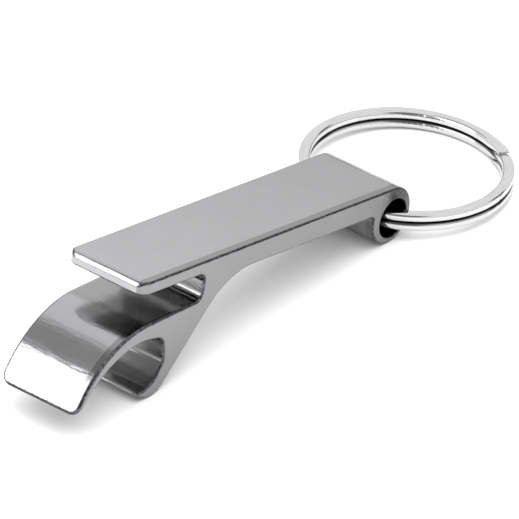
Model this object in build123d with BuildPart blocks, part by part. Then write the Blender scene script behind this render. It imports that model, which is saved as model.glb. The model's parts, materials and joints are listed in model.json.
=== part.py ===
from build123d import *
import os
from math import asin, atan2, cos, degrees, hypot, pi, radians, sin, sqrt

# Keychain bottle opener: one cut length of aluminium extrusion and a two-turn split ring.
# The opener's side outline is drawn flat, with x back from the plate's front edge and y up
# from the plate's top face.  A tilted plane then stands it on its claw and its eyelet, and
# the ring lies behind it with its far side on the same floor.

# --- opener sizes, in millimetres ---
width = 11.0              # cut length of the extrusion, across the opener
plate_thick = 1.6         # plate over the cap mouth
bar_thick = 2.75          # solid bar between the neck and the eyelet
eye_from_front = 46.05    # plate front to the middle of the eyelet's curl
eye_wall = 1.08           # outside of the eyelet's curl beyond the bore's radius
bore_back = 0.33          # bore's centre behind the curl's centre
bore_below = 0.37         # bore's centre below the curl's centre
eye_corner_radius = 0.5   # inside corner between the bar and the curl

mouth_depth = 11.4        # plate front to the end of the cap mouth
mouth_height = 3.27       # plate underside to the mouth's floor, at the mouth's end
mouth_slope = 3.5         # fall of the mouth's floor toward the lever, degrees
mouth_roof_radius = 1.1   # upper corner at the mouth's end
mouth_floor_radius = 0.9  # lower corner at the mouth's end

bend_ahead = 9.05         # mouth's end forward to the start of the lever's bend
lever_reach = 8.8         # lever's tip ahead of the plate's front
lever_drop = 8.55         # lever's tip below the start of the bend
lever_root_thick = 2.1    # metal between the mouth and the can-tab notch
lever_tip_thick = 0.75    # lever at its tip
lever_end_slope = 19.0    # fall of the lever's end face, degrees

notch_roof_ahead = 5.97   # mouth's end forward to the corner of the notch's roof
notch_roof_fall = 0.4     # fall of the roof toward that corner
notch_ahead = 5.28        # mouth's end forward to the deepest point of the notch
notch_wall = 3.2          # roof corner down to the deepest point
claw_bend_ahead = 6.75    # mouth's end forward to the bend inside the claw
claw_bend_drop = 2.6      # deepest point down to that bend
claw_tip_ahead = 8.65     # mouth's end forward to the claw's tip
claw_tip_drop = 0.3       # bend down to the claw's tip
notch_roof_radius = 1.7   # rounding of the three inside corners, from the roof down
notch_back_radius = 1.5
claw_bend_radius = 3.1
claw_tip_thick = 0.6      # claw at its tip
sole_below_tip = 0.42     # bottom of the claw below its tip
sole_radius = 2.8         # round sole behind the claw's tip
neck_slope = 50.7         # slope of the neck's back, degrees
neck_thick = 2.15         # mouth's lower back corner to the neck's back, square to it
neck_blend = 10.0         # sweep from the neck's back into the bar's underside

long_edge = 0.25          # rounding of every edge round the two cut faces
bore_edge = 0.15          # rounding at the ends of the bore
corner_radius = 1.3       # plan rounding of the plate's and the lever's free corners

# --- split ring sizes, in millimetres ---
ring_radius = 12.42       # outside of the ring
wire_width = 1.43         # wire across the ring
wire_height = 1.1         # wire along the ring's axis, one turn
wire_round = 0.45         # rounding of the wire's corners
turn_gap = 0.04           # daylight between the two turns
cross_angle = -30.0       # middle of the crossover, degrees round from the far side
cross_half = 14.0         # half of the crossover's ramp, degrees
cross_spans = 6           # spans of the crossover's loft
tongue_spans = 4          # spans along the ramp that each ground end of the wire covers
tongue_round = 0.4        # most rounding of a ground end, as a share of its height
ring_aside = 1.0          # ring's middle to one side of the opener's middle
bore_slack = 0.43         # bore's wall clear of the wire, with the wire centred in it
bore_play = 0.12          # least gap between the wire and the bore where it lies

os.makedirs("parts", exist_ok=True)


def along(start, angle, length):
    """Point at a distance from start, in the direction of an angle in degrees."""
    return (start[0] + length * cos(radians(angle)), start[1] + length * sin(radians(angle)))


# --- bore and ring ---
# Across the opener the wire runs on a curve, so it takes up more of the bore than its width.
# The ring's middle is as far back as centres that run of wire in the bore.
stack = 2 * wire_height + turn_gap
far_cut = width / 2 + ring_aside
inner_reach = sqrt((ring_radius - wire_width) ** 2 - far_cut**2)
ring_back = (ring_radius + inner_reach) / 2
corner_x = (ring_radius - inner_reach) / 2 - wire_round
bore_radius = hypot(corner_x, stack / 2 - wire_round) + wire_round + bore_slack
eye_radius = bore_radius + eye_wall

# --- points of the side outline ---
mouth_roof_end = (mouth_depth, -plate_thick)
mouth_floor_end = (mouth_depth, -plate_thick - mouth_height)
bend_top = along(mouth_floor_end, 180 + mouth_slope, bend_ahead / cos(radians(mouth_slope)))
lever_tip = (-lever_reach, bend_top[1] - lever_drop)
lever_end = along(lever_tip, -lever_end_slope, lever_tip_thick)

roof_start = (bend_top[0], bend_top[1] - lever_root_thick)
roof_corner = (mouth_depth - notch_roof_ahead, roof_start[1] - notch_roof_fall)
notch_end = (mouth_depth - notch_ahead, roof_corner[1] - notch_wall)
claw_bend = (mouth_depth - claw_bend_ahead, notch_end[1] - claw_bend_drop)
claw_tip = (mouth_depth - claw_tip_ahead, claw_bend[1] - claw_tip_drop)
claw_point = (claw_tip[0] - claw_tip_thick / 2, claw_tip[1] - claw_tip_thick / 2)
claw_under = (claw_tip[0], claw_tip[1] - claw_tip_thick)
sole_y = claw_under[1] - sole_below_tip

# The neck's back is a line at neck_slope; square is its outward direction.
square = (sin(radians(neck_slope)), -cos(radians(neck_slope)))
neck_offset = mouth_floor_end[0] * square[0] + mouth_floor_end[1] * square[1] + neck_thick
neck_top = ((neck_offset + bar_thick * square[1]) / square[0], -bar_thick)
sole_centre_y = sole_y + sole_radius
sole_centre = ((neck_offset - sole_radius - sole_centre_y * square[1]) / square[0], sole_centre_y)
neck_foot = (sole_centre[0] + sole_radius * square[0], sole_centre[1] + sole_radius * square[1])

eye_centre = (eye_from_front, -eye_radius)
bore_centre = (eye_centre[0] + bore_back, eye_centre[1] - bore_below)
eye_front = (eye_from_front - sqrt(eye_radius**2 - (eye_radius - bar_thick) ** 2), -bar_thick)
eye_front_rise = degrees(asin((eye_radius - bar_thick) / eye_radius))

# --- resting pose: the floor is the common tangent under the sole and the curl ---
span = (eye_centre[0] - sole_centre[0], eye_centre[1] - sole_centre[1])
tilt = asin((eye_radius - sole_radius) / hypot(*span)) - atan2(span[1], span[0])


def stand(point):
    """Resting x and z of an outline point, before the frame's origin is set."""
    return (point[0] * cos(tilt) - point[1] * sin(tilt), point[0] * sin(tilt) + point[1] * cos(tilt))


floor_z = stand(eye_centre)[1] - eye_radius
bore_rest = stand(bore_centre)

# --- where the ring lies ---
corner_reach = bore_radius - bore_play - wire_round
ring_low = sqrt(corner_reach**2 - corner_x**2) + wire_round
bore_height = bore_rest[1] - floor_z
middle_height = bore_height - ring_low + stack / 2
far_reach = ring_back + ring_radius
ring_tilt = asin(middle_height / hypot(far_reach, stack / 2)) - atan2(stack / 2, far_reach)
print("opener tilt", round(degrees(tilt), 2), "ring tilt", round(degrees(ring_tilt), 2))

ring_x = bore_rest[0] + ring_back * cos(ring_tilt)
ring_z = middle_height - ring_back * sin(ring_tilt)
middle_x = (stand(lever_tip)[0] + ring_x + ring_radius * cos(ring_tilt)) / 2

side_plane = Plane(
    origin=(-middle_x, -ring_aside, -floor_z),
    x_dir=(cos(tilt), 0, sin(tilt)),
    z_dir=(0, -1, 0),
)
ring_plane = Plane(
    origin=(ring_x - middle_x, 0, ring_z),
    x_dir=(cos(ring_tilt), 0, -sin(ring_tilt)),
    z_dir=(sin(ring_tilt), 0, cos(ring_tilt)),
)


def side_point(point, across=0.0):
    """Place in the part's frame of an outline point, so far across the opener."""
    return side_plane.from_local_coords(Vector(point[0], point[1], across))


# --- opener body ---
with BuildPart() as opener_body:
    with BuildSketch(side_plane) as outline:
        with BuildLine():
            Line((0, -plate_thick), (0, 0))
            Line((0, 0), (eye_from_front, 0))
            CenterArc(eye_centre, eye_radius, 90, -270 - eye_front_rise)
            FilletPolyline(eye_front, neck_top, neck_foot, radius=neck_blend)
            CenterArc(sole_centre, sole_radius, -90, neck_slope)
            TangentArc((sole_centre[0], sole_y), claw_under, tangent=(-1, 0))
            ThreePointArc(claw_under, claw_point, claw_tip)
            FilletPolyline(
                claw_tip, claw_bend, notch_end, roof_corner, roof_start,
                radius=[claw_bend_radius, notch_back_radius, notch_roof_radius],
            )
            TangentArc(roof_start, lever_end, tangent=(-1, 0))
            Line(lever_end, lever_tip)
            TangentArc(bend_top, lever_tip, tangent=along((0, 0), 180 + mouth_slope, 1))
            FilletPolyline(
                bend_top, mouth_floor_end, mouth_roof_end, (0, -plate_thick),
                radius=[mouth_floor_radius, mouth_roof_radius],
            )
        make_face()
        fillet(outline.vertices().sort_by_distance(eye_front)[0], eye_corner_radius)
    extrude(amount=width / 2, both=True)

    # Free corners of the plate and the lever, rounded in plan.
    plate_front = (0, -plate_thick / 2)
    lever_face = ((lever_tip[0] + lever_end[0]) / 2, (lever_tip[1] + lever_end[1]) / 2)
    corners = [
        opener_body.edges().sort_by_distance(side_point(spot, side * width / 2))[0]
        for spot in (plate_front, lever_face)
        for side in (-1, 1)
    ]
    fillet(corners, corner_radius)

    # Every edge round the cut faces, with the plate's and the lever's front edges.
    cut_faces = opener_body.faces().filter_by(Axis.Y).sort_by(Axis.Y)
    front_edges = [
        opener_body.edges().sort_by_distance(side_point(spot))[0]
        for spot in ((0, 0), (0, -plate_thick), lever_tip, lever_end)
    ]
    fillet(cut_faces[0].edges() + cut_faces[-1].edges() + front_edges, long_edge)

    with BuildSketch(side_plane):
        with Locations(bore_centre):
            Circle(bore_radius)
    extrude(amount=width, both=True, mode=Mode.SUBTRACT)
    bore_rims = opener_body.edges().filter_by(GeomType.CIRCLE).filter_by(
        lambda rim: abs(rim.radius - bore_radius) < 0.01
    )
    fillet(bore_rims, bore_edge)
opener_body.part.label = "opener_body"
export_step(opener_body.part, "parts/opener_body.step")


def wire_plane(angle):
    """Plane across the wire, at an angle round the ring: x outward and y along the axis."""
    outward = ring_plane.x_dir * cos(radians(angle)) + ring_plane.y_dir * sin(radians(angle))
    return Plane(origin=ring_plane.origin, x_dir=outward, z_dir=outward.cross(ring_plane.z_dir))


# --- split ring: an upper turn, a ramp down and a lower turn, from one length of wire ---
# Both ends of the wire are ground to a tongue that lies along the ramp.
wire_mid = ring_radius - wire_width / 2
level = (wire_height + turn_gap) / 2
ring_axis = Axis(ring_plane.origin, ring_plane.z_dir)
ramp_start = cross_angle - cross_half
ramp_end = cross_angle + cross_half
turn = 360 - 2 * cross_half

with BuildPart() as split_ring:
    with BuildSketch(wire_plane(ramp_start - turn)):
        with Locations((wire_mid, level)):
            RectangleRounded(wire_width, wire_height, wire_round)
    revolve(axis=ring_axis, revolution_arc=turn)
    with BuildSketch(wire_plane(ramp_end)):
        with Locations((wire_mid, -level)):
            RectangleRounded(wire_width, wire_height, wire_round)
    revolve(axis=ring_axis, revolution_arc=turn)
    for step in range(cross_spans + 1):
        share = step / cross_spans
        with BuildSketch(wire_plane(ramp_start + 2 * cross_half * share)):
            with Locations((wire_mid, level * cos(pi * share))):
                RectangleRounded(wire_width, wire_height, wire_round)
    loft()
    for side in (1, -1):
        for step in range(cross_spans - tongue_spans, cross_spans + 1):
            share = step / cross_spans
            height = level * (1 - cos(pi * share)) - turn_gap
            with BuildSketch(wire_plane(cross_angle + side * cross_half * (2 * share - 1))):
                with Locations((wire_mid, side * (stack - height) / 2)):
                    RectangleRounded(wire_width, height, min(wire_round, tongue_round * height))
        loft()
split_ring.part.label = "split_ring"
export_step(split_ring.part, "parts/split_ring.step")
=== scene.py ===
import bmesh
import bpy
import json
from math import atan2, ceil, cos, degrees, radians, sin, sqrt, tan
from mathutils import Matrix, Vector


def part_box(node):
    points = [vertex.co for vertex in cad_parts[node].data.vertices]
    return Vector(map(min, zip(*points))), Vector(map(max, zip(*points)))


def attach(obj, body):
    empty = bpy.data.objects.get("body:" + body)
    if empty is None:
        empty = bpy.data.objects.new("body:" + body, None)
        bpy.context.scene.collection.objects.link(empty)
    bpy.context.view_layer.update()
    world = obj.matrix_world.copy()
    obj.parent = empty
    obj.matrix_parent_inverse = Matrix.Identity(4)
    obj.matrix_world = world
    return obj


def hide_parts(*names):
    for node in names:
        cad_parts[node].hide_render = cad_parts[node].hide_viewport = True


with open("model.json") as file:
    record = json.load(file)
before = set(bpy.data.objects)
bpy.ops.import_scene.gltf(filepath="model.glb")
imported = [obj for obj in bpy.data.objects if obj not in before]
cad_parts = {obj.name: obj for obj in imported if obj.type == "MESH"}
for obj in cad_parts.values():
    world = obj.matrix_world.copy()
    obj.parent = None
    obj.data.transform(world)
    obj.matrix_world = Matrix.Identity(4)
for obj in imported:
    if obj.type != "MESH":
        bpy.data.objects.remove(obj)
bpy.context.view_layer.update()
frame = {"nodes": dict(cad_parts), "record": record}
mm = 0.001
record = frame["record"]
print("frame loaded")

# The side outline has its own axes: back from the plate's front edge, up from its top, and across.
plateMount = next(mount for mount in record["mounts"] if mount["name"] == "plate_face")
ringJoint = next(joint for joint in record["behaviour"]["joints"] if joint["name"] == "ring_swing")
mountBack = 23.0  # the plate's mount lies this far behind its front edge, in mm
plateUp = Vector(plateMount["axis"]).normalized()
plateBack = Vector((plateUp.z, 0, -plateUp.x))
plateAcross = Vector((0, -1, 0))
plateFront = Vector(plateMount["pos_m"]) - plateBack * mountBack * mm
sideAxes = Matrix((plateBack, plateUp, plateAcross)).transposed().to_4x4()
sideToFrame = Matrix.Translation(plateFront) @ sideAxes
boreAt = (sideToFrame.inverted() @ Vector(ringJoint["pos_m"])) / mm


def along(start, angle, length):
    return (start[0] + length * cos(radians(angle)), start[1] + length * sin(radians(angle)))


def angleOf(point, centre):
    return degrees(atan2(point[1] - centre[1], point[0] - centre[0]))


def arc(centre, radius, begin, end, step=3.0):
    count = max(2, ceil(abs(end - begin) / step))
    return [along(centre, begin + (end - begin) * i / count, radius) for i in range(count + 1)]


def roundedPath(points, radii):
    path = [points[0]]
    for before, corner, after, radius in zip(points, points[1:], points[2:], radii):
        corner = Vector(corner)
        toBefore = (Vector(before) - corner).normalized()
        toAfter = (Vector(after) - corner).normalized()
        half = toBefore.angle(toAfter) / 2
        centre = corner + (toBefore + toAfter).normalized() * radius / sin(half)
        begin = angleOf(corner + toBefore * radius / tan(half), centre)
        sweep = (angleOf(corner + toAfter * radius / tan(half), centre) - begin + 180) % 360 - 180
        path += arc(centre, radius, begin, begin + sweep)
    return path + [points[-1]]


class Bend:
    # an arc that leaves start in a direction and reaches end
    def __init__(self, start, direction, end):
        chord = Vector(end) - Vector(start)
        square = Vector((-direction[1], direction[0]))
        signed = chord.length_squared / (2 * chord.dot(square))
        self.centre = Vector(start) + square * signed
        self.radius = abs(signed)
        self.begin = angleOf(start, self.centre)
        self.sweep = (angleOf(end, self.centre) - self.begin + 180) % 360 - 180

    def points(self, share):
        return arc(self.centre, self.radius, self.begin, self.begin + self.sweep * share)

    def fromEnd(self, length):
        back = degrees(length / self.radius) * (1 if self.sweep > 0 else -1)
        return along(self.centre, self.begin + self.sweep - back, self.radius)

    def shareTo(self, length):
        return 1 - degrees(length / self.radius) / abs(self.sweep)


# Opener body: one cut length of extrusion.  Lengths in mm, slopes in degrees.
opener = {
    "width": 11.0,
    "plateThick": 1.6,
    "noseRadius": 0.8,  # rounded upper front of the plate
    "barThick": 2.75,
    "eyeBack": 46.05,
    "eyeRadius": 3.448,
    "eyeCorner": 0.5,
    "boreRadius": 2.368,
    "mouthDepth": 11.4,
    "mouthHeight": 3.27,
    "mouthSlope": 3.5,
    "mouthRadii": (0.9, 1.1),
    "bendAhead": 9.05,  # ahead of the mouth's end, as are the notch and the claw
    "leverReach": 8.8,
    "leverDrop": 8.55,
    "leverRoot": 2.1,
    "leverTip": 0.75,
    "leverEndSlope": 19.0,
    "notchRoof": (5.97, 0.4),
    "notchEnd": (5.28, 3.2),
    "clawBend": (6.75, 2.6),
    "clawTip": (8.65, 0.3),
    "clawRadii": (3.1, 1.5, 1.7),
    "clawThick": 0.6,
    "soleDrop": 0.42,
    "soleRadius": 2.8,
    "neckSlope": 50.7,
    "neckThick": 2.15,
    "neckBlend": 10.0,
    "cornerRadius": 1.3,  # plan rounding of the plate's and the lever's free corners
    "cornerSteps": 14,
    "plateEdge": 0.28,  # rounding of the edges round the cut faces
    "bodyEdge": 0.25,
    "thinEdge": 0.29,
    "tipEdge": 0.30,  # underside of the lever's free end
    "leverEdge": 0.38,  # the lever's upper side is rounder
    "boreEdge": 0.16,
    "edgeSteps": 7,
    "noseFade": 4,  # points over which the side edges' rounding grows at the plate's front
    "rimSpread": 2.2,  # how far the painted dark reflection spreads from the middle of a rounded edge
    "boreSteps": 120,
    "weld": 0.00001,
    "normalWeight": 90,
}


def cornerStations(size):
    # distance back from a free end, and half width there
    radius = size["cornerRadius"]
    turns = [radians(90 * i / size["cornerSteps"]) for i in range(size["cornerSteps"] + 1)]
    return [(radius * (1 - cos(t)), size["width"] / 2 - radius * (1 - sin(t))) for t in turns]


def openerOutline(size):
    # Closed outline from the front, back along the top, round and forwards again, as a point, the half
    # width there and the edge's rounding.  With it come the index of the lever's upper end, and that point.
    half, thick, nose = size["width"] / 2, size["plateThick"], size["noseRadius"]
    stations = cornerStations(size)
    mouthEnd = (size["mouthDepth"], -thick - size["mouthHeight"])
    bendTop = along(mouthEnd, 180 + size["mouthSlope"], size["bendAhead"] / cos(radians(size["mouthSlope"])))
    tip = (-size["leverReach"], bendTop[1] - size["leverDrop"])
    end = along(tip, -size["leverEndSlope"], size["leverTip"])
    root = (bendTop[0], bendTop[1] - size["leverRoot"])

    def ahead(name, above):
        return (size["mouthDepth"] - size[name][0], above - size[name][1])

    roof = ahead("notchRoof", root[1])
    notch = ahead("notchEnd", roof[1])
    bend = ahead("clawBend", notch[1])
    clawTip = ahead("clawTip", bend[1])
    clawUnder = (clawTip[0], clawTip[1] - size["clawThick"])
    clawMiddle = (clawTip[0], clawTip[1] - size["clawThick"] / 2)

    slope = radians(size["neckSlope"])
    square = Vector((sin(slope), -cos(slope)))
    offset = Vector(mouthEnd).dot(square) + size["neckThick"]
    neckTop = ((offset + size["barThick"] * square.y) / square.x, -size["barThick"])
    soleY = clawUnder[1] - size["soleDrop"]
    soleCentre = Vector(((offset - size["soleRadius"] - (soleY + size["soleRadius"]) * square.y) / square.x,
                         soleY + size["soleRadius"]))
    neckFoot = soleCentre + square * size["soleRadius"]

    eye = Vector((size["eyeBack"], -size["eyeRadius"]))
    rise = size["eyeRadius"] - size["barThick"]
    eyeFront = (eye.x - sqrt(size["eyeRadius"] ** 2 - rise**2), -size["barThick"])
    inner, outer = size["eyeRadius"] + size["eyeCorner"], size["barThick"] + size["eyeCorner"]
    cornerX = eye.x - sqrt(inner**2 - (outer - size["eyeRadius"]) ** 2)
    cornerCentre = (cornerX, -outer)
    touch = angleOf(cornerCentre, eye) % 360

    outerBend = Bend(bendTop, along((0, 0), 180 + size["mouthSlope"], 1), tip)
    innerBend = Bend(root, (-1, 0), end)
    reach = size["cornerRadius"]

    def noseFall(back):
        return sqrt(max(0.0, nose**2 - max(0.0, nose - back) ** 2)) - nose

    outline = []

    def add(points, edge, halves=None):
        for i, point in enumerate(points):
            point = Vector(point)
            if not outline or (outline[-1][0] - point).length > 1e-4:
                outline.append((point, halves[i] if halves else half, edge))

    def addEnd(points, edge, fromTip):
        halves = [h for _, h in stations]
        add(points, edge, halves if fromTip else halves[::-1])

    backs = [back for back, _ in stations]
    addEnd([(b, noseFall(b)) for b in backs], size["plateEdge"], True)
    add(arc(eye, size["eyeRadius"], 90, touch - 360), size["bodyEdge"])
    add(arc(cornerCentre, size["eyeCorner"], touch - 180, 90), size["bodyEdge"])
    blend = roundedPath([eyeFront, neckTop, neckFoot], [size["neckBlend"]])[1:-1]
    add(blend, size["bodyEdge"])
    add(arc(soleCentre, size["soleRadius"], size["neckSlope"] - 90, -90), size["bodyEdge"])
    sole = Bend((soleCentre.x, soleY), (-1, 0), clawUnder)
    add(sole.points(1.0), size["thinEdge"])
    add(arc(clawMiddle, size["clawThick"] / 2, -90, -270, 12), size["thinEdge"])
    add(roundedPath([clawTip, bend, notch, roof, root], size["clawRadii"])[1:], size["thinEdge"])
    add(innerBend.points(innerBend.shareTo(reach))[1:-1], size["thinEdge"])
    addEnd([innerBend.fromEnd(b) for b in backs[::-1]], size["tipEdge"], False)
    leverStart = len(outline)
    addEnd([outerBend.fromEnd(b) for b in backs], size["leverEdge"], True)
    add(outerBend.points(outerBend.shareTo(reach))[::-1][1:], size["leverEdge"])
    mouth = [bendTop, mouthEnd, (size["mouthDepth"], -thick), (reach, -thick)]
    add(roundedPath(mouth, size["mouthRadii"])[1:-1], size["thinEdge"])
    addEnd([(b, -thick) for b in backs[::-1]], size["plateEdge"], False)
    return outline, leverStart, Vector(tip)


def roundedEdge(corner, wallIn, faceIn, radius, size):
    # points of a rounded edge, from the wall to the face beside it, each with its share of the painted dark
    # reflection
    made = []
    for i in range(size["edgeSteps"] + 1):
        t = radians(90 * i / size["edgeSteps"])
        point = corner + faceIn * radius * (1 - cos(t)) + wallIn * radius * (1 - sin(t))
        made.append((point, min(1, size["rimSpread"] * sin(2 * t))))
    return made


def outlineNormals(chain):
    # outward normals of an open chain of points that runs clockwise round the metal
    normals = []
    for i, point in enumerate(chain):
        before = (point - chain[i - 1]).normalized() if i > 0 else Vector((0, 0))
        after = (chain[i + 1] - point).normalized() if i < len(chain) - 1 else Vector((0, 0))
        run = (before + after).normalized()
        normals.append(Vector((-run.y, run.x, 0)))
    return normals


def buildOpener(size, outline, leverStart):
    count, steps = len(outline), size["cornerSteps"]
    points = [point for point, _, _ in outline]
    normals = outlineNormals(points[:leverStart]) + outlineNormals(points[leverStart:])
    outOfFace = Vector((0, 0, 1))  # across the opener, out of the near cut face

    def inwards(i):
        # directions that run inwards from the corner, along the wall and along the face beside it
        toPlate = min(i, count - 1 - i)
        toLever = leverStart - 1 - i if i < leverStart else i - leverStart
        if min(toPlate, toLever) > steps:
            return -outOfFace, -normals[i]
        partner = count - 1 - i if toPlate < toLever else 2 * leverStart - 1 - i
        isAfter = i <= steps or leverStart <= i <= leverStart + steps
        free = Vector((-normals[i].y, normals[i].x, 0)) * (1 if isAfter else -1)
        turn = radians(90 * min(toPlate, toLever) / steps)
        faceIn = (points[partner] - points[i]).normalized().to_3d()
        return -free * cos(turn) - outOfFace * sin(turn), faceIn

    bm = bmesh.new()
    edgeLayer = bm.verts.layers.float.new("edge")  # 1 along the middle of every rounded edge

    def mirrored(ring):
        made = [[bm.verts.new((c.x, c.y, side * c.z)) for c, _ in ring] for side in (1, -1)]
        for side in made:
            for vert, (_, middle) in zip(side, ring):
                vert[edgeLayer] = middle
        return made

    rings = [[], []]
    for i, (point, half, edge) in enumerate(outline):
        radius = edge * min(1.0, i / size["noseFade"])  # the nose's own rounding takes over at the front
        corner = Vector((point.x, point.y, half))
        for side, made in zip(rings, mirrored(roundedEdge(corner, *inwards(i), radius, size))):
            side.append(made)
    rims = [[], []]
    for i in range(size["boreSteps"]):
        outward = Vector((*along((0, 0), 90 - 360 * i / size["boreSteps"], 1), 0))  # from the top, backwards
        corner = Vector((boreAt.x, boreAt.y, size["width"] / 2)) + outward * size["boreRadius"]
        edge = roundedEdge(corner, -outOfFace, outward, size["boreEdge"], size)
        for rim, made in zip(rims, mirrored(edge)):
            rim.append(made)

    def strip(first, second):
        for k in range(len(first) - 1):
            bm.faces.new((first[k], first[k + 1], second[k + 1], second[k]))

    near, far = rings
    breaks = (leverStart - 1, count - 1)
    for i in range(count):
        j = (i + 1) % count
        if i not in breaks:
            bm.faces.new((near[i][0], near[j][0], far[j][0], far[i][0]))
            for side in rings:
                strip(side[i], side[j])
        else:  # the plate's front and the lever's end face, with their own rounded edges
            strip(near[i], far[i])
            strip(near[j], far[j])
            bm.faces.new((near[i][-1], near[j][-1], far[j][-1], far[i][-1]))
    for i in range(size["boreSteps"]):
        j = (i + 1) % size["boreSteps"]
        bm.faces.new((rims[0][i][0], rims[0][j][0], rims[1][j][0], rims[1][i][0]))
        for rim in rims:
            strip(rim[i], rim[j])

    def nearest(x, y):
        return min(range(count), key=lambda i: (points[i] - Vector((x, y))).length)

    overBore = nearest(boreAt.x, 0)
    underBore = nearest(boreAt.x, boreAt.y - size["eyeRadius"])
    halfTurn = size["boreSteps"] // 2
    for side, rim in zip(rings, rims):
        face = [ring[-1] for ring in side]
        hole = [ring[-1] for ring in rim]
        back = face[overBore:underBore + 1] + hole[halfTurn::-1]
        front = face[underBore:leverStart - steps] + face[leverStart + steps:count - steps]
        front += face[steps:overBore + 1] + [hole[0]] + hole[:halfTurn - 1:-1]
        bm.faces.new(back)
        bm.faces.new(front)
        for k in range(steps):
            bm.faces.new((face[k], face[k + 1], face[count - 2 - k], face[count - 1 - k]))
            low, high = leverStart - 1 - k, leverStart + k
            bm.faces.new((face[low], face[low - 1], face[high + 1], face[high]))
    bmesh.ops.remove_doubles(bm, verts=bm.verts, dist=size["weld"])
    bmesh.ops.dissolve_degenerate(bm, edges=bm.edges, dist=size["weld"] / 10)
    bmesh.ops.recalc_face_normals(bm, faces=bm.faces)
    bm.transform(sideToFrame @ Matrix.Scale(mm, 4))
    mesh = bpy.data.meshes.new("opener")
    bm.to_mesh(mesh)
    bm.free()
    mesh.shade_smooth()
    body = bpy.data.objects.new("opener", mesh)
    bpy.context.collection.objects.link(body)
    sharpen = body.modifiers.new("normals", "WEIGHTED_NORMAL")
    sharpen.weight = size["normalWeight"]
    return body


outline, leverStart, leverTip = openerOutline(opener)
openerPiece = buildOpener(opener, outline, leverStart)
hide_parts("opener_body")
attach(openerPiece, "opener")
print("opener built,", len(openerPiece.data.polygons), "faces")


# Small helpers for node materials.
def newMaterial(name):
    material = bpy.data.materials.new(name)
    material.use_nodes = True
    return material, material.node_tree, material.node_tree.nodes["Principled BSDF"]


def node(tree, kind, **settings):
    made = tree.nodes.new(kind)
    for key, value in settings.items():
        if key in made.inputs:
            made.inputs[key].default_value = value
        else:
            setattr(made, key, value)
    return made


def join(tree, source, out, target, into):
    tree.links.new(source.outputs[out], target.inputs[into])


def mapTo(tree, source, out, low, high, fromLow=0.0, fromHigh=1.0, smooth=False):
    ranged = node(tree, "ShaderNodeMapRange")
    ranged.inputs["From Min"].default_value = fromLow
    ranged.inputs["From Max"].default_value = fromHigh
    ranged.inputs["To Min"].default_value = low
    ranged.inputs["To Max"].default_value = high
    if smooth:
        ranged.interpolation_type = "SMOOTHSTEP"
    join(tree, source, out, ranged, "Value")
    return ranged


def combine(tree, *sources, operation="MULTIPLY"):
    # two or more (node, output) pairs multiplied, or joined by another operation
    total = sources[0]
    for source in sources[1:]:
        made = node(tree, "ShaderNodeMath", operation=operation)
        join(tree, *total, made, 0)
        join(tree, *source, made, 1)
        total = (made, "Value")
    return total


def tinted(tree, below, tone, share):
    # below is the tone so far, a colour or a node; tone is laid over it where share is 1
    blend = node(tree, "ShaderNodeMix", data_type="RGBA")
    if isinstance(below, tuple):
        blend.inputs["A"].default_value = (*below, 1)
    else:
        join(tree, below, "Result", blend, "A")
    blend.inputs["B"].default_value = (*tone, 1)
    join(tree, *share, blend, "Factor")
    return blend


def bumped(tree, height, strength, distance, below=None):
    bump = node(tree, "ShaderNodeBump", Strength=strength, Distance=distance)
    join(tree, height, "Fac", bump, "Height")
    if below:
        join(tree, below, "Normal", bump, "Normal")
    return bump


noiseSpan = (0.3, 0.7)  # range that nearly all of a noise falls in

# The noise scales are per metre, and long across the opener, as an extrusion's die lines are.
extrusionMetal = {
    "tone": (0.39, 0.39, 0.40),
    "wornTone": (0.48, 0.48, 0.49),
    "wornPoint": (0.52, 0.62),  # pointiness where wear starts, and where it is full
    "sawnAndShadedTone": (0.245, 0.245, 0.25),  # the two cut faces: partly their sawn finish, partly painted shade for the near face's dim reflection
    "sawnAndShadedEdge": (0.99, 0.999),  # where that tone starts and is full, as a share of half the width
    # painted shade in the mouth, the notch and the bore, as a middle and a reach in the side axes, and a tone
    "shadedPockets": {
        "mouth": ((7.2, -3.3, 0), (6.6, 2.6, 5.5), 0.29),
        "notch": ((3.4, -10.7, 0), (3.4, 3.6, 5.5), 0.23),
        "bore": ((boreAt.x, boreAt.y, 0), (2.9, 2.9, 5.6), 0.05),
    },
    "shadedPocketFade": 0.85,
    # painted dark reflection along the rounded edges and across the lever's end
    "paintedRimTone": (0.055, 0.055, 0.06),
    "edgeLeast": 0.45,  # share of the painted dark reflection's tone where an edge shows least of it
    "edgeSpan": (0.35, 0.6),
    "paintedStripHeight": (0.26, 0.50),  # painted dark reflection in a strip above the lever's end: height where it is full, and where it ends
    "paintedStripBack": (1.0, 1.5),  # how far back from the lever's end the strip is full, and where it ends
    "paintedStripJag": 0.5,
    "paintedStripJagScale": (5200, 5200, 2600),
    "paintedFalloff": (1.04, 0.82),  # painted light falloff: a little brighter at the plate's front than at the eyelet
    "cloudy": (0.97, 1.03),
    "cloudScale": (160, 160, 160),
    "roughness": (0.12, 0.22),
    "roughSpan": (0.1, 0.45),  # range that two noises multiplied fall in
    "swellScale": (420, 420, 60),
    "swell": (0.35, 0.00002),  # strength and height of each bump
    "grainScale": (2400, 2400, 520),
    "grain": (0.6, 0.00003),
    "poreScale": (3200, 3200, 3200),
    "pores": (0.06, 0.000003),
}


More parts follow.
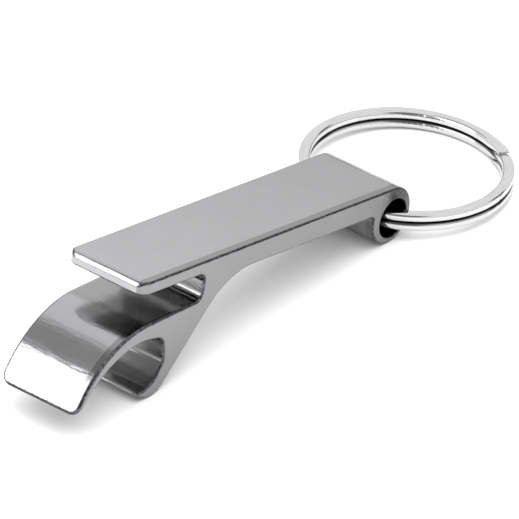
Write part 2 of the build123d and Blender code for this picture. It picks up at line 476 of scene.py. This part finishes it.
def extrusionMaterial(look):
    material, tree, shader = newMaterial("dieLinedAluminium")
    shader.inputs["Metallic"].default_value = 1.0
    front = sideAxes.inverted() @ plateFront  # in the axes that the node below turns to
    place = node(tree, "ShaderNodeTexCoord")
    turned = node(tree, "ShaderNodeMapping", vector_type="POINT")  # into the side outline's axes
    turned.inputs["Rotation"].default_value = sideAxes.to_3x3().inverted().to_euler()
    join(tree, place, "Object", turned, "Vector")
    spot = node(tree, "ShaderNodeSeparateXYZ")
    join(tree, turned, "Vector", spot, "Vector")

    def noise(scale, detail, roughness=0.5):
        spread = node(tree, "ShaderNodeMapping", vector_type="POINT")
        spread.inputs["Scale"].default_value = scale
        join(tree, turned, "Vector", spread, "Vector")
        made = node(tree, "ShaderNodeTexNoise", Scale=1.0, Detail=detail, Roughness=roughness)
        join(tree, spread, "Vector", made, "Vector")
        return made

    grain = noise(look["grainScale"], 3.0)
    swell = noise(look["swellScale"], 2.0)
    cloud = noise(look["cloudScale"], 4.0, 0.6)
    pores = noise(look["poreScale"], 2.0)
    jag = noise(look["paintedStripJagScale"], 2.0)

    both = combine(tree, (cloud, "Fac"), (grain, "Fac"))
    rough = mapTo(tree, *both, *look["roughness"], *look["roughSpan"])
    join(tree, rough, "Result", shader, "Roughness")

    wear = node(tree, "ShaderNodeNewGeometry")
    low, high = look["wornPoint"]
    worn = mapTo(tree, wear, "Pointiness", 0.0, 1.0, low, high, smooth=True)
    tone = tinted(tree, look["tone"], look["wornTone"], combine(tree, (worn, "Result"), (cloud, "Fac")))

    # darker cut faces: partly their sawn finish, partly painted shade on the near face
    fromMiddle = node(tree, "ShaderNodeMath", operation="ABSOLUTE")
    join(tree, spot, "Z", fromMiddle, 0)
    low, high = [share * opener["width"] / 2 * mm for share in look["sawnAndShadedEdge"]]
    sawnAndShaded = mapTo(tree, fromMiddle, "Value", 0.0, 1.0, low, high)
    tone = tinted(tree, tone, look["sawnAndShadedTone"], (sawnAndShaded, "Result"))

    # painted shade: a darker tone inside the mouth, the notch and the bore
    for middle, reach, pocketShadeTone in look["shadedPockets"].values():
        offset = node(tree, "ShaderNodeVectorMath", operation="SUBTRACT")
        join(tree, turned, "Vector", offset, 0)
        offset.inputs[1].default_value = front + Vector(middle) * mm
        scaled = node(tree, "ShaderNodeVectorMath", operation="DIVIDE")
        join(tree, offset, "Vector", scaled, 0)
        scaled.inputs[1].default_value = Vector(reach) * mm
        size = node(tree, "ShaderNodeVectorMath", operation="ABSOLUTE")
        join(tree, scaled, "Vector", size, 0)
        parts = node(tree, "ShaderNodeSeparateXYZ")
        join(tree, size, "Vector", parts, "Vector")
        widest = combine(tree, (parts, "X"), (parts, "Y"), (parts, "Z"), operation="MAXIMUM")
        inside = mapTo(tree, *widest, 1.0, 0.0, look["shadedPocketFade"], 1.0, smooth=True)
        tone = tinted(tree, tone, (pocketShadeTone, pocketShadeTone, pocketShadeTone), (inside, "Result"))

    # painted dark reflection along the rounded edges, and in a jagged strip that runs up from the lever's end
    edge = node(tree, "ShaderNodeAttribute", attribute_name="edge")
    patchy = mapTo(tree, pores, "Fac", look["edgeLeast"], 1.0, *look["edgeSpan"])
    rims = combine(tree, (edge, "Fac"), (patchy, "Result"))
    jagged = node(tree, "ShaderNodeMath", operation="MULTIPLY_ADD")
    join(tree, jag, "Fac", jagged, 0)
    jagged.inputs[1].default_value = -look["paintedStripJag"] * mm
    join(tree, spot, "Y", jagged, 2)
    low, high = [front.y + (leverTip.y + height - look["paintedStripJag"] / 2) * mm for height in look["paintedStripHeight"]]
    strip = mapTo(tree, jagged, "Value", 1.0, 0.0, low, high)
    low, high = [front.x + (leverTip.x + back) * mm for back in look["paintedStripBack"]]
    atTip = mapTo(tree, spot, "X", 1.0, 0.0, low, high)
    paintedStrip = combine(tree, (strip, "Result"), (atTip, "Result"))
    tone = tinted(tree, tone, look["paintedRimTone"], combine(tree, rims, paintedStrip, operation="MAXIMUM"))

    cloudy = mapTo(tree, cloud, "Fac", *look["cloudy"], *noiseSpan)
    # painted light falloff along the plate, brighter at the front
    paintedFalloff = mapTo(tree, spot, "X", *look["paintedFalloff"], front.x, front.x + opener["eyeBack"] * mm)
    shade = node(tree, "ShaderNodeHueSaturation")
    join(tree, tone, "Result", shade, "Color")
    join(tree, *combine(tree, (cloudy, "Result"), (paintedFalloff, "Result")), shade, "Value")
    join(tree, shade, "Color", shader, "Base Color")

    relief = bumped(tree, swell, *look["swell"])
    relief = bumped(tree, grain, *look["grain"], relief)
    relief = bumped(tree, pores, *look["pores"], relief)
    join(tree, relief, "Normal", shader, "Normal")
    return material


openerPiece.data.materials.append(extrusionMaterial(extrusionMetal))

ringMetal = {
    "tone": (0.60, 0.60, 0.60),
    "slitShadeTone": 0.08,
    "slitShade": (0.10, 0.34),  # painted shade between the turns: half height where it is full, and where it ends, in mm
    "lean": 3.39,  # degrees that the ring leans, its far side down
    "roughness": (0.05, 0.12),
    "lineScale": 9000,  # drawing lines, per metre
    "lineTone": (0.93, 1.05),
    "lines": (0.12, 0.000006),  # strength and height of each bump
    "cloudScale": 500,
    "cloud": (0.2, 0.00001),
}


def ringMaterial(look):
    material, tree, shader = newMaterial("drawnNickelWire")
    shader.inputs["Metallic"].default_value = 1.0
    middle = [(low + high) / 2 for low, high in zip(*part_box("split_ring"))]
    place = node(tree, "ShaderNodeTexCoord")
    centred = node(tree, "ShaderNodeMapping", vector_type="POINT")
    centred.inputs["Location"].default_value = [-c for c in middle]
    join(tree, place, "Object", centred, "Vector")
    parts = node(tree, "ShaderNodeSeparateXYZ")
    join(tree, centred, "Vector", parts, "Vector")
    # distance from the ring's middle and height, so that drawing lines run round the ring
    flat = node(tree, "ShaderNodeCombineXYZ")
    join(tree, parts, "X", flat, "X")
    join(tree, parts, "Y", flat, "Y")
    radius = node(tree, "ShaderNodeVectorMath", operation="LENGTH")
    join(tree, flat, "Vector", radius, 0)
    lines = node(tree, "ShaderNodeCombineXYZ")
    join(tree, radius, "Value", lines, "X")
    join(tree, parts, "Z", lines, "Y")
    drawn = node(tree, "ShaderNodeTexNoise", Scale=look["lineScale"], Detail=2.0)
    join(tree, lines, "Vector", drawn, "Vector")
    cloud = node(tree, "ShaderNodeTexNoise", Scale=look["cloudScale"], Detail=3.0)
    join(tree, centred, "Vector", cloud, "Vector")
    rough = mapTo(tree, cloud, "Fac", *look["roughness"], *noiseSpan)
    join(tree, rough, "Result", shader, "Roughness")
    shade = node(tree, "ShaderNodeHueSaturation", Color=(*look["tone"], 1))
    lined = mapTo(tree, drawn, "Fac", *look["lineTone"], *noiseSpan)
    level = node(tree, "ShaderNodeMath", operation="MULTIPLY_ADD")  # height above the slit between the turns
    join(tree, parts, "X", level, 0)
    level.inputs[1].default_value = tan(radians(look["lean"]))
    join(tree, parts, "Z", level, 2)
    # painted shade: a dark band in the slit between the turns
    offSlit = node(tree, "ShaderNodeMath", operation="ABSOLUTE")
    join(tree, level, "Value", offSlit, 0)
    low, high = [height * mm for height in look["slitShade"]]
    slitShading = mapTo(tree, offSlit, "Value", look["slitShadeTone"], 1.0, low, high, smooth=True)
    join(tree, *combine(tree, (lined, "Result"), (slitShading, "Result")), shade, "Value")
    join(tree, shade, "Color", shader, "Base Color")
    relief = bumped(tree, drawn, *look["lines"])
    relief = bumped(tree, cloud, *look["cloud"], relief)
    join(tree, relief, "Normal", shader, "Normal")
    return material


frame["nodes"]["split_ring"].material_slots[0].material = ringMaterial(ringMetal)
print("metals made")


# Studio: a plain white table, a soft overhead light, a softbox to the left, and pale card all round.
tableTop = {"half": 2.0, "tone": (0.92, 0.92, 0.92), "roughness": 0.9}
floorMesh = bpy.data.meshes.new("floor")
half = tableTop["half"]
corners = [(-half, -half, 0), (half, -half, 0), (half, half, 0), (-half, half, 0)]
floorMesh.from_pydata(corners, [], [(0, 1, 2, 3)])
floor = bpy.data.objects.new("floor", floorMesh)
bpy.context.collection.objects.link(floor)
floorPaint, _, floorShader = newMaterial("tablePaint")
floorShader.inputs["Base Color"].default_value = (*tableTop["tone"], 1)
floorShader.inputs["Roughness"].default_value = tableTop["roughness"]
floorShader.inputs["Specular IOR Level"].default_value = 0.0
floorMesh.materials.append(floorPaint)


def direction(heading, rise):
    heading, rise = radians(heading), radians(rise)
    return Vector((cos(heading) * cos(rise), sin(heading) * cos(rise), sin(rise)))


sky = {
    "level": 1.15,
    # darker round cards: heading, rise, radius where it is full, radius where it ends, brightness
    "patches": [
        (116, 58, 14, 26, 0.48),
        (-27, 21, 7, 15, 0.05),
        (217, 36, 15, 32, 0.25),
    ],
    # dark band above the table's edge: rise where it is full, rise where it ends, brightness
    "skirt": (2.5, 7, 0.12),
}


def buildSky(look):
    world = bpy.data.worlds.new("sky")
    bpy.context.scene.world = world
    world.use_nodes = True
    tree = world.node_tree
    background = tree.nodes["Background"]
    place = node(tree, "ShaderNodeTexCoord")
    level = None
    for heading, rise, inner, outer, brightness in look["patches"]:
        facing = node(tree, "ShaderNodeVectorMath", operation="DOT_PRODUCT")
        join(tree, place, "Generated", facing, 0)
        facing.inputs[1].default_value = direction(heading, rise)
        share = mapTo(tree, facing, "Value", 0.0, 1.0, cos(radians(outer)), cos(radians(inner)), smooth=True)
        blend = node(tree, "ShaderNodeMix", data_type="FLOAT")
        join(tree, share, "Result", blend, "Factor")
        if level is None:
            blend.inputs["A"].default_value = look["level"]
        else:
            join(tree, level, "Result", blend, "A")
        blend.inputs["B"].default_value = brightness
        level = blend
    height = node(tree, "ShaderNodeSeparateXYZ")
    join(tree, place, "Generated", height, "Vector")
    full, gone, brightness = look["skirt"]
    share = mapTo(tree, height, "Z", 1.0, 0.0, sin(radians(full)), sin(radians(gone)), smooth=True)
    blend = node(tree, "ShaderNodeMix", data_type="FLOAT")
    join(tree, share, "Result", blend, "Factor")
    join(tree, level, "Result", blend, "A")
    blend.inputs["B"].default_value = brightness
    join(tree, blend, "Result", background, "Strength")
    background.inputs["Color"].default_value = (1, 1, 1, 1)


buildSky(sky)

# A mirrored lamp shows only in reflections, and the other kind only lights what is matt.
lamps = {
    "softbox": {
        "heading": 154, "rise": 29, "distance": 0.45,
        "size": (0.36, 0.34), "watts": 1.3, "mirrored": True,
    },
    "overhead": {
        "heading": 200, "rise": 80, "distance": 0.9,
        "size": (1.3, 1.3), "watts": 11.5, "mirrored": False,
    },
}


def addLamp(name, look):
    light = bpy.data.lights.new(name, "AREA")
    light.shape = "RECTANGLE"
    light.size, light.size_y = look["size"]
    light.energy = look["watts"]
    lamp = bpy.data.objects.new(name, light)
    bpy.context.collection.objects.link(lamp)
    away = direction(look["heading"], look["rise"])
    turn = away.to_track_quat("Z", "Y").to_matrix().to_4x4()
    lamp.matrix_world = Matrix.Translation(away * look["distance"]) @ turn
    lamp.visible_glossy = look["mirrored"]
    lamp.visible_diffuse = not look["mirrored"]


for name, look in lamps.items():
    addLamp(name, look)
bpy.context.scene.view_settings.view_transform = "Standard"
print("studio lit")

viewFrom = {
    "aim": (-3.90, -3.51, 6.0),  # in mm
    "heading": 37.61,  # direction of view in plan, degrees from +X towards +Y
    "down": 33.10,
    "roll": 2.65,
    "distance": 1.395,
    "lens": 865.0,
}


def addCamera(view):
    camData = bpy.data.cameras.new("camera")
    camData.lens = view["lens"]
    camData.sensor_width = 36.0
    camData.clip_end = 10.0
    cam = bpy.data.objects.new("camera", camData)
    bpy.context.collection.objects.link(cam)
    forward = direction(view["heading"], -view["down"])
    turn = forward.to_track_quat("-Z", "Y").to_matrix().to_4x4()
    roll = Matrix.Rotation(radians(view["roll"]), 4, "Z")
    cam.matrix_world = Matrix.Translation(Vector(view["aim"]) * mm - forward * view["distance"]) @ turn @ roll
    bpy.context.scene.camera = cam


addCamera(viewFrom)
print("camera placed")
